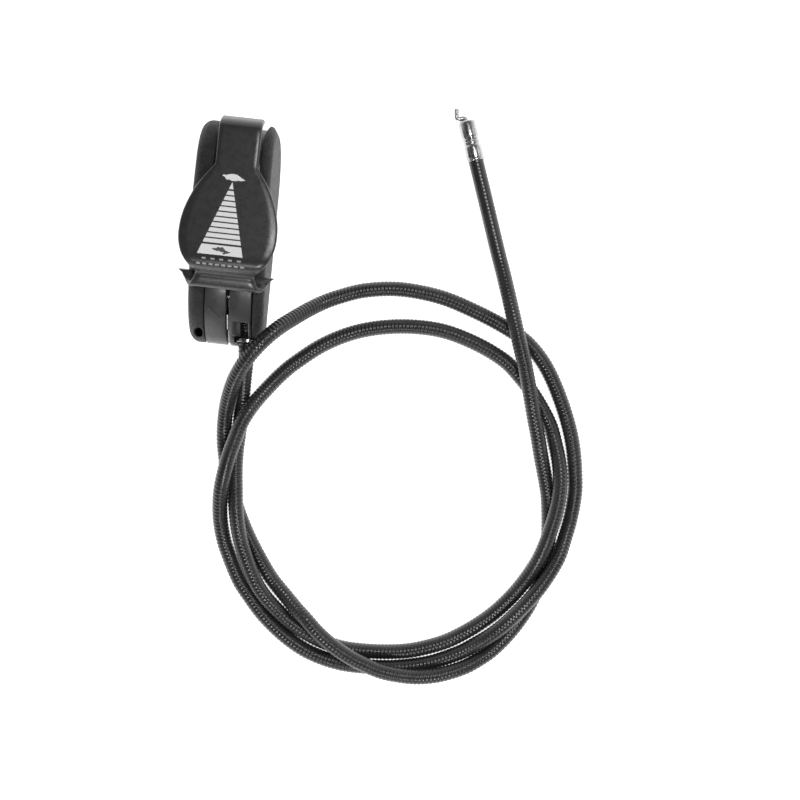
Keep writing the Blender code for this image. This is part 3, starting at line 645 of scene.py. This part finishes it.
def core_right(mat):
    """Right core half with room for the web, the pin, the crank, the wire and the sheath."""
    core = core_half("core_right_half", SLOT_RIGHT, CORE_RIGHT_FACE, mat)
    cut(core, web_pocket("right_web_pocket", SLOT_RIGHT - 1.0, WEB_HALF + WEB_GAP))
    cut(core, rod("right_pin_bore", (-1.0, PIVOT_Y, PIVOT_Z), (1, 0, 0), PIN_BORE, 5.0))
    cut(core, crank_pocket("crank_pocket", 2.3, CORE_RIGHT_FACE + 1.0))
    cut(core, block("wire_corridor", (3.2, -23.0, 7.0), (8.0, 12.0, 11.0)))
    cut(core, block("cable_channel", (4.1, -40.0, WIRE_Z), (CORE_RIGHT_FACE - 0.8, -28.5, 50.0)))
    for i, (y, z) in enumerate(SCREWS):
        cut(core, rod(f"bore_{i}", (-1.0, y, z), (1, 0, 0), SCREW_BORE, 9.0))
    cut(core, *conduit_cutters())
    return place(core, "housing", "core_plastic", "core_right")


def conduit_clip(mat):
    """Bright spring clip that bridges the sheath where it leaves the head."""
    inner = CONDUIT_RADIUS + CLIP_PLAY
    outer = inner + CLIP_THICK
    angles = [math.radians(180.0 - 7.5 * i) for i in range(25)]
    ring_out = [(WIRE_X + outer * math.cos(a), WIRE_Z + outer * math.sin(a)) for a in angles]
    ring_in = [(WIRE_X + inner * math.cos(a), WIRE_Z + inner * math.sin(a)) for a in reversed(angles)]
    foot = WIRE_Z - CLIP_FOOT
    outline = ring_out + [(WIRE_X + outer, foot), (WIRE_X + inner, foot)]
    outline += ring_in + [(WIRE_X - inner, foot), (WIRE_X - outer, foot)]
    clip = loft("conduit_clip_spring", [[(x, y, z) for x, z in outline] for y in CLIP_ENDS_Y], mat)
    bevel(clip, 0.2, 3)
    return place(clip, "housing", "spring_steel", "conduit_clip")


def cover_screws(mat):
    """Pan heads with a cross recess, sunk in the left cover."""
    head = [(0.0, 0.0), (1.4, 0.04), (2.0, 0.22), (2.32, 0.5), (2.4, 0.8), (2.4, 1.3), (1.5, 1.3)]
    shank = [(1.5, 22.3), (1.2, 22.7), (0.0, 22.7)]
    for i, (y, z) in enumerate(SCREWS, 1):
        screw = turned(f"cover_screw_head_{i}", head + shank, (SCREW_HEAD_X, y, z), (1, 0, 0), mat)
        turn = Matrix.Rotation(0.5 + i, 2)
        for k in range(2):
            side = Matrix.Rotation(math.pi / 2 * k, 2) @ turn @ Vector((RECESS_HALF, 0.0))
            across = Vector((-side.y, side.x)).normalized() * RECESS_HALF_WIDTH
            corners = (side + across, -side + across, -side - across, side - across)
            recess = prism_x("recess", [(y + c.x, z + c.y) for c in corners], *RECESS_X)
            cut(screw, recess)
        place(screw, "housing", "zinc_steel", f"cover_screw_{i}")


# ---------------------------------------------------------------- lever

def lever_path():
    """Centre line of the lever sheet in (y, z) with its width, before smoothing."""
    fold = ((34.2, 39.5), (33.5, 41.4), (32.7, 43.3), (31.6, 44.7), (30.1, PLATE_Z), (24.0, PLATE_Z),
            (19.5, PLATE_Z))
    path = [(y, z, STRAP_WIDTH) for y, z in fold]
    spoon = ((18.2, 14.8), (16.5, 17.2), (14.7, 19.8), (12.4, 22.6), (10.0, 25.0), (7.6, 27.0), (5.3, 28.6),
             (3.0, 29.8), (0.6, 30.6), (-1.8, SPOON_WIDTH), (-4.2, 30.8), (-6.6, 30.0))
    path += [(y, PLATE_Z, width) for y, width in spoon]
    path += [(-9.2, 45.1, 28.2), (-11.0, 44.6, 25.9), (-12.2, 43.7, 23.4), (-12.9, 42.4, 21.4),
             (-13.4, 41.0, 19.8), (-14.0, 39.7, NECK_WIDTH), (-15.0, 38.7, 19.0), (-16.3, 38.1, 19.8)]
    lip = arc(-16.4, 35.9, 1.8, 125.0, 285.0, 7)
    for i, (y, z) in enumerate(lip):
        path.append((y, z, LIP_WIDTH + (i - 1) * LIP_FLARE))
    path += [(-15.1, 34.2, 28.4), (-14.6, 34.3, 29.6), (-14.1, 34.4, WING_WIDTH)]
    return path


def sheet_ring(y, z, out, half):
    """Cross-section of the sheet: flat faces with rounded long edges."""
    ring = []
    thick = SHEET / 2
    flat = half - SHEET_EDGE
    columns = 12
    steps = 5
    middle = min(0.0, (y - PIVOT_Y) * LEAN)

    def point(x, lift):
        return (middle + x, y + out[0] * lift, z + out[1] * lift)

    for side in (1.0, -1.0):
        for k in range(columns):
            x = -flat + 2.0 * flat * k / (columns - 1)
            ring.append(point(side * x, side * thick))
        for k in range(1, steps):
            angle = math.pi / 2 - math.pi * k / steps
            ring.append(point(side * (flat + SHEET_EDGE * math.cos(angle)), side * thick * math.sin(angle)))
    return ring


def lever_sheet(mat):
    """Strap, spoon and rolled hook as one bent sheet."""
    path = smooth_curve(lever_path(), PATH_STEPS)
    rings = []
    last = len(path) - 1
    for i, (y, z, width) in enumerate(path):
        before = path[max(i - 1, 0)]
        after = path[min(i + 1, last)]
        along = Vector((after[0] - before[0], after[1] - before[1])).normalized()
        rings.append(sheet_ring(y, z, (along.y, -along.x), width / 2))
    sheet = loft("lever_sheet", rings, mat, 50.0)
    bevel(sheet, 0.25, angle=60.0)
    return place(sheet, "thumb_lever", "lever_plastic", "lever")


def lever_web(mat):
    """Web and hub under the strap, with the pin bore; its top edge lies inside the sheet."""
    top = PLATE_Z - 0.6
    outline = [(12.0, top), (PIVOT_Y - 8.6, PIVOT_Z + 3.0)]
    outline += arc(PIVOT_Y, PIVOT_Z, HUB_RADIUS, 180.0, 360.0, 40)
    outline += [(PIVOT_Y + 8.6, PIVOT_Z + 3.0), (30.0, top)]
    web = prism_x("lever_web_hub", outline, -WEB_HALF, WEB_HALF, mat)
    cut(web, rod("web_bore", (-3.0, PIVOT_Y, PIVOT_Z), (1, 0, 0), PIN_BORE, 6.0))
    bevel(web, 0.25)
    return place(web, "thumb_lever", "lever_plastic")


# ---------------------------------------------------------------- printed scale

PRINT_THICK = 0.04
PRINT_SUNK = 0.1

# Spans of the lever's path, counted from its fold, over which print can lie
PRINTED_SPANS = 23

# Wedge of bars: its apex in x and y, and how its two edges run out from there
APEX_X = -0.62
SCALE_APEX = 13.8
LEFT_SLOPE = 0.372
RIGHT_SLOPE = 0.246
BAR_COUNT = 10
BAR_TOP = 10.94
BAR_PITCH = 1.70
BAR_HEIGHT = 1.28
BLOCK_COUNT = 8
BLOCK_TOP = -6.25
BLOCK_HEIGHT = 0.3875

# Signs: middle and scale on the lever
SLOW_PLACE = ((-0.3, 15.0), 0.93)
FAST_PLACE = ((-1.9, -7.85), 0.95)

# Rows of dashes in place of the two words: y, first x, count and pitch
DASH_ROWS = ((-10.9, -7.6, 5, 2.75), (-12.6, -9.3, 8, 1.98))
DASH_LENGTH = 1.2
DASH_HEIGHT = 0.55

# Slow sign: a tortoise seen from the side, about its own middle, head to the left
TORTOISE = ((-4.0, 0.5), (-3.5, 0.95), (-2.9, 0.75), (-2.2, 0.95), (-1.3, 1.3), (-0.2, 1.4), (0.9, 1.25),
            (1.9, 0.75), (2.5, 0.3), (3.2, 0.0), (4.0, -0.5), (3.2, -0.55), (2.5, -0.8), (1.7, -0.65),
            (0.6, -0.95), (-0.6, -0.95), (-1.5, -0.6), (-2.3, -0.75), (-2.8, -0.2), (-3.3, 0.25))
# Fast sign: a running hare, head to the left
HARE = ((-3.1, 0.25), (-2.4, 0.55), (-1.6, 0.6), (-1.0, 1.1), (-0.3, 0.9), (0.5, 1.15), (0.9, 0.75),
        (1.6, 0.1), (2.4, -0.15), (3.3, -0.4), (2.3, -0.75), (1.5, -0.95), (1.0, -1.25), (0.6, -1.0),
        (1.1, -0.55), (0.4, -0.5), (-0.6, -0.2), (-1.4, -0.3), (-2.2, 0.0))


def plate_top(y):
    """Height of the upper face of the lever at y, from the smoothed centre line."""
    path = smooth_curve(lever_path(), PATH_STEPS)[:PRINTED_SPANS * PATH_STEPS]
    along = np.gradient(path[:, :2], axis=0)
    along /= np.linalg.norm(along, axis=1)[:, None]
    top_y = path[:, 0] + along[:, 1] * SHEET / 2
    top_z = path[:, 1] - along[:, 0] * SHEET / 2
    return float(np.interp(-y, -top_y, top_z))


def plate_print(name, outline, mat, layer=0):
    """Thin printed patch that lies on the lever; outline in (x, y)."""
    lift = PRINT_THICK * (1 + layer)
    rings = [[(x, y, plate_top(y) + height) for x, y in outline] for height in (-PRINT_SUNK, lift)]
    return place(loft(name, rings, mat), "thumb_lever", "lever_print")


def sign(name, outline, middle, scale, mat, layer=0):
    """Printed sign, scaled about its middle."""
    plate_print(name, [(middle[0] + x * scale, middle[1] + y * scale) for x, y in outline], mat, layer)


def printed_scale(white, dark, dim):
    """Wedge of bars that widens towards the hook, between a slow and a fast sign."""

    def left_edge(y):
        return APEX_X + (y - SCALE_APEX) * LEFT_SLOPE

    def right_edge(y):
        return APEX_X - (y - SCALE_APEX) * RIGHT_SLOPE

    def band(name, high, low):
        bottom = ((left_edge(low), low), (right_edge(low), low))
        top = ((right_edge(high), high), (left_edge(high), high))
        plate_print(name, bottom + top, white)

    band("scale_tip", SCALE_APEX - 0.1, 11.5)
    for i in range(BAR_COUNT):
        top = BAR_TOP - i * BAR_PITCH
        band(f"scale_bar_{i + 1}", top, top - BAR_HEIGHT)
    for i in range(BLOCK_COUNT):
        top = BLOCK_TOP - i * BLOCK_HEIGHT
        band(f"scale_block_{i + 1}", top, top - BLOCK_HEIGHT)
    sign("slow_sign", TORTOISE, *SLOW_PLACE, white)
    sign("fast_sign", HARE, *FAST_PLACE, dark, 2)
    for row, (y, first, count, pitch) in enumerate(DASH_ROWS):
        for k in range(count):
            x = first + k * pitch
            right, top = x + DASH_LENGTH, y + DASH_HEIGHT
            plate_print(f"dash_{row + 1}_{k + 1}", ((x, y), (right, y), (right, top), (x, top)), dim)


# ---------------------------------------------------------------- cable

def sheath_line():
    """Centre line of the sheath as a dense chain, with its straight start and end."""
    lead = np.linspace((WIRE_X, CONDUIT_START_Y, WIRE_Z), ROUTE[0], 8)[:-1]
    tail_end = np.array(FERRULE_BACK + FERRULE_AXIS * SHEATH_IN_FERRULE)
    tail = np.linspace(ROUTE[-1], tail_end, 20)[1:]
    line = np.concatenate([lead, smooth_curve(ROUTE, 16), tail])
    line[:, 2] = np.maximum(line[:, 2], LOWEST_CENTRE)
    for _ in range(LINE_SMOOTHINGS):
        line[1:-1] = 0.25 * line[:-2] + 0.5 * line[1:-1] + 0.25 * line[2:]
    return line


def turning_frames(points):
    """Two directions across the line at each point, carried along without twist."""
    tangents = np.gradient(points, axis=0)
    tangents /= np.linalg.norm(tangents, axis=1)[:, None]
    side = np.cross(tangents[0], (0.0, 0.0, 1.0))
    side /= np.linalg.norm(side)
    sides = np.empty_like(points)
    for i, tangent in enumerate(tangents):
        side = side - tangent * side.dot(tangent)
        side /= np.linalg.norm(side)
        sides[i] = side
    return sides, np.cross(tangents, sides)


def cable_sheath(mat):
    """Jacket with one raised helical rib per pitch along its whole length."""
    rings_per_pitch = 6
    around = 28
    step = RIB_PITCH / rings_per_pitch
    points = evenly(sheath_line(), step)
    sides, ups = turning_frames(points)
    count = len(points)
    turn = np.arange(around) * 2.0 * np.pi / around
    along = np.arange(count)[:, None] / rings_per_pitch
    phase = 2.0 * np.pi * along + turn[None, :]
    rib = 0.5 + 0.5 * np.cos(phase)
    to_end = (count - 1 - np.arange(count)[:, None]) * step
    depth = GROOVE_NEAR_END + GROOVE_EXTRA * np.clip((to_end - GROOVE_CALM) / GROOVE_FADE, 0.0, 1.0)
    radius = CONDUIT_RADIUS + RIB_RISE - depth * (1.0 - rib) ** GROOVE_SHARPNESS
    cosine = np.cos(turn)[None, :, None]
    sine = np.sin(turn)[None, :, None]
    verts = points[:, None, :] + radius[:, :, None] * (sides[:, None, :] * cosine + ups[:, None, :] * sine)
    verts = (verts * MM).reshape(-1, 3)
    ring = np.arange(around)
    nxt = (ring + 1) % around
    base = np.arange(count - 1)[:, None] * around
    above = base + around
    quads = np.stack([base + ring, base + nxt, above + nxt, above + ring], axis=-1).reshape(-1, 4)
    mesh = bpy.data.meshes.new("cable_sheath")
    ends = [tuple(ring[::-1]), tuple(ring + (count - 1) * around)]
    mesh.from_pydata(verts.tolist(), [], quads.tolist() + [tuple(int(v) for v in e) for e in ends])
    mesh.shade_smooth()
    mesh.materials.append(mat)
    mesh.update()
    obj = bpy.data.objects.new("cable_sheath", mesh)
    bpy.context.scene.collection.objects.link(obj)
    place(obj, "housing", "conduit_jacket", "conduit", "conduit_end")
    return obj, points[::5] * MM


def end_ferrule(mat):
    """Crimped metal ferrule: two sleeves with a ringed neck between them."""
    outer = [(2.70, 0.0), (2.92, 0.10), (3.0, 0.35), (3.0, 0.75), (2.90, 0.95), (2.96, 1.2), (2.98, 4.6),
             (2.92, 5.1), (2.74, 5.35), (2.70, 5.6), (2.70, 5.9), (2.84, 6.1), (2.84, 6.4), (2.70, 6.6),
             (2.70, 6.9), (2.82, 7.1), (2.82, 7.4), (2.72, 7.6), (2.74, 8.0), (2.90, 8.25), (2.94, 8.7),
             (2.94, 12.9), (2.86, 13.3), (2.64, 13.6), (2.2, FERRULE_LENGTH)]
    bore = [(1.75, FERRULE_LENGTH), (1.65, 13.5), (1.65, 5.0), (2.68, 5.0), (2.68, 0.0)]
    piece = turned("end_ferrule_crimped", outer + bore, FERRULE_BACK, FERRULE_AXIS, mat, 56, 50.0)
    return place(piece, "housing", "ferrule_nickel", "end_ferrule")


def round_wire(name, points, radius, mat, segments=16):
    """Round wire along a dense chain of points."""
    points = np.asarray(points)
    sides, ups = turning_frames(points)
    angles = [2.0 * math.pi * k / segments for k in range(segments)]
    rings = []
    for point, side, up in zip(points, sides, ups):
        rings.append([point + radius * (side * math.cos(a) + up * math.sin(a)) for a in angles])
    return loft(name, rings, mat, 50.0)


def filleted(corners, radius, steps=7):
    """Chain of points with each corner rounded by a circular-looking blend."""
    corners = [np.array(c, float) for c in corners]
    out = [corners[0]]
    for before, corner, after in zip(corners, corners[1:], corners[2:]):
        start = corner + (before - corner) / np.linalg.norm(before - corner) * radius
        end = corner + (after - corner) / np.linalg.norm(after - corner) * radius
        for i in range(steps + 1):
            t = i / steps
            out.append((1 - t) ** 2 * start + 2 * t * (1 - t) * corner + t * t * end)
    out.append(corners[-1])
    return out


def end_wire(mat):
    """Z-bend of the wire at the far ferrule; its hidden start lets it slide out by TRAVEL."""
    side = Vector((-FERRULE_AXIS.y, FERRULE_AXIS.x, 0.0))
    mouth = FERRULE_BACK + FERRULE_AXIS * FERRULE_LENGTH
    inner = mouth - FERRULE_AXIS * (TRAVEL + 2.0)
    first = mouth + FERRULE_AXIS * END_LEGS[0]
    second = first + side * END_LEGS[1]
    third = second + TIP_AXIS * END_LEGS[2]
    chain = filleted((inner, first, second, third), END_BEND)
    wire = round_wire("end_wire_bent", chain, WIRE_RADIUS, mat)
    bevel(wire, 0.15, angle=60.0)
    return place(wire, "wire_end", "wire_steel", "end_wire")


# ---------------------------------------------------------------- scene

def carried_nodes(looks):
    """Gives the CAD nodes that stay a procedural material of their slot."""
    for entry in frame["record"]["subparts"]:
        node = frame["nodes"][entry["node"]]
        look = looks.get(entry["material_slot"])
        if look is None or not node.material_slots:
            continue
        for material_slot in node.material_slots:
            material_slot.link = "OBJECT"
            material_slot.material = look


CAMERA_ROLL = math.radians(6.3)
CAMERA_PLACE = Vector((0.0587, -0.048, 0.6))
CAMERA_LENS = 80.0
LIT_POINT = (0.05, -0.04, 0.0)
FLOOR_HALF = 1.5
FLOOR_Z = -0.0002


def camera():
    """Looks straight down from above the coil, rolled so that the head leans a little."""
    data = bpy.data.cameras.new("camera")
    data.lens = CAMERA_LENS
    data.clip_start = 0.01
    obj = bpy.data.objects.new("camera", data)
    right = Vector((math.cos(CAMERA_ROLL), math.sin(CAMERA_ROLL), 0.0))
    up = Vector((-math.sin(CAMERA_ROLL), math.cos(CAMERA_ROLL), 0.0))
    place_at = Matrix((right, up, Vector((0.0, 0.0, 1.0)))).transposed().to_4x4()
    place_at.translation = CAMERA_PLACE
    obj.matrix_world = place_at
    bpy.context.scene.collection.objects.link(obj)
    bpy.context.scene.camera = obj


def area_light(name, position, size, power):
    """Round light that faces the lit point."""
    data = bpy.data.lights.new(name, "AREA")
    data.shape = "DISK"
    data.size = size
    data.energy = power
    obj = bpy.data.objects.new(name, data)
    obj.location = position
    obj.rotation_euler = (Vector(LIT_POINT) - Vector(position)).to_track_quat("-Z", "Y").to_euler()
    bpy.context.scene.collection.objects.link(obj)


def soft_dome():
    """White sky that dims towards its top and towards the near side."""
    world = bpy.data.worlds.new("soft_white")
    world.use_nodes = True
    tree = world.node_tree
    coords = tree.nodes.new("ShaderNodeTexCoord")
    parts = tree.nodes.new("ShaderNodeSeparateXYZ")
    tree.links.new(coords.outputs["Generated"], parts.inputs["Vector"])
    fade = map_range(tree, parts.outputs["Z"], (0.15, 0.85), (0.85, 0.05))
    fade.interpolation_type = "SMOOTHSTEP"
    turn = map_range(tree, parts.outputs["Y"], (-1.0, 1.0), (0.4, 1.2))
    both = tree.nodes.new("ShaderNodeMath")
    both.operation = "MULTIPLY"
    tree.links.new(fade.outputs["Result"], both.inputs[0])
    tree.links.new(turn.outputs["Result"], both.inputs[1])
    background = tree.nodes["Background"]
    tree.links.new(both.outputs[0], background.inputs["Strength"])
    background.inputs["Color"].default_value = (1.0, 1.0, 1.0, 1.0)
    bpy.context.scene.world = world


def studio(floor_mat):
    """Floor, sky and lights."""
    bm = bmesh.new()
    half = FLOOR_HALF
    corners = ((-half, -half), (half, -half), (half, half), (-half, half))
    bm.faces.new([bm.verts.new((x, y, FLOOR_Z)) for x, y in corners])
    floor = add_piece("floor", bm, floor_mat)
    soft_dome()
    area_light("front_light", (0.05, -0.62, 0.50), 0.10, 1.6)
    area_light("side_light", (0.6, 0.25, 0.35), 0.2, 0.15)
    area_light("overhead_light", (0.26, 0.05, 0.90), 0.24, 3.2)
    bpy.context.scene.view_settings.view_transform = "Standard"


def main():
    """Builds the camera, the pieces with their looks and the studio."""
    camera()
    looks = {
        "grained_plastic": grained_plastic(),
        "core_plastic": core_plastic(),
        "lever_plastic": lever_plastic(),
        "conduit_jacket": conduit_jacket(),
        "zinc_steel": metal("zinc_steel_look", 0.52, 0.66, 0.22, 0.42),
        "spring_steel": metal("spring_steel_look", 0.30, 0.42, 0.16, 0.32),
        "ferrule_nickel": metal("ferrule_nickel_look", 0.44, 0.56, 0.18, 0.34),
        "wire_steel": metal("wire_steel_look", 0.42, 0.54, 0.24, 0.4),
        "liner_nylon": nylon(),
    }
    white = print_ink("lever_print_look", 0.80, 0.93, 0.5, 0.7, 0.00001)
    dark = print_ink("print_dark_look", 0.05, 0.10, 0.45, 0.6)

    sheath, sheath_path = cable_sheath(looks["conduit_jacket"])
    ferrule = end_ferrule(looks["ferrule_nickel"])
    wire = end_wire(looks["wire_steel"])

    carried_nodes(looks)
    left_cover(looks["grained_plastic"])
    right_cover(looks["grained_plastic"])
    core_left(looks["core_plastic"])
    core_right(looks["core_plastic"])
    mould_mark(looks["core_plastic"])
    conduit_clip(looks["spring_steel"])
    cover_screws(looks["zinc_steel"])
    lever_sheet(looks["lever_plastic"])
    lever_web(looks["lever_plastic"])
    printed_scale(white, dark, print_ink("print_dim_look", 0.30, 0.42, 0.5, 0.7))
    studio(floor_paper())


main()
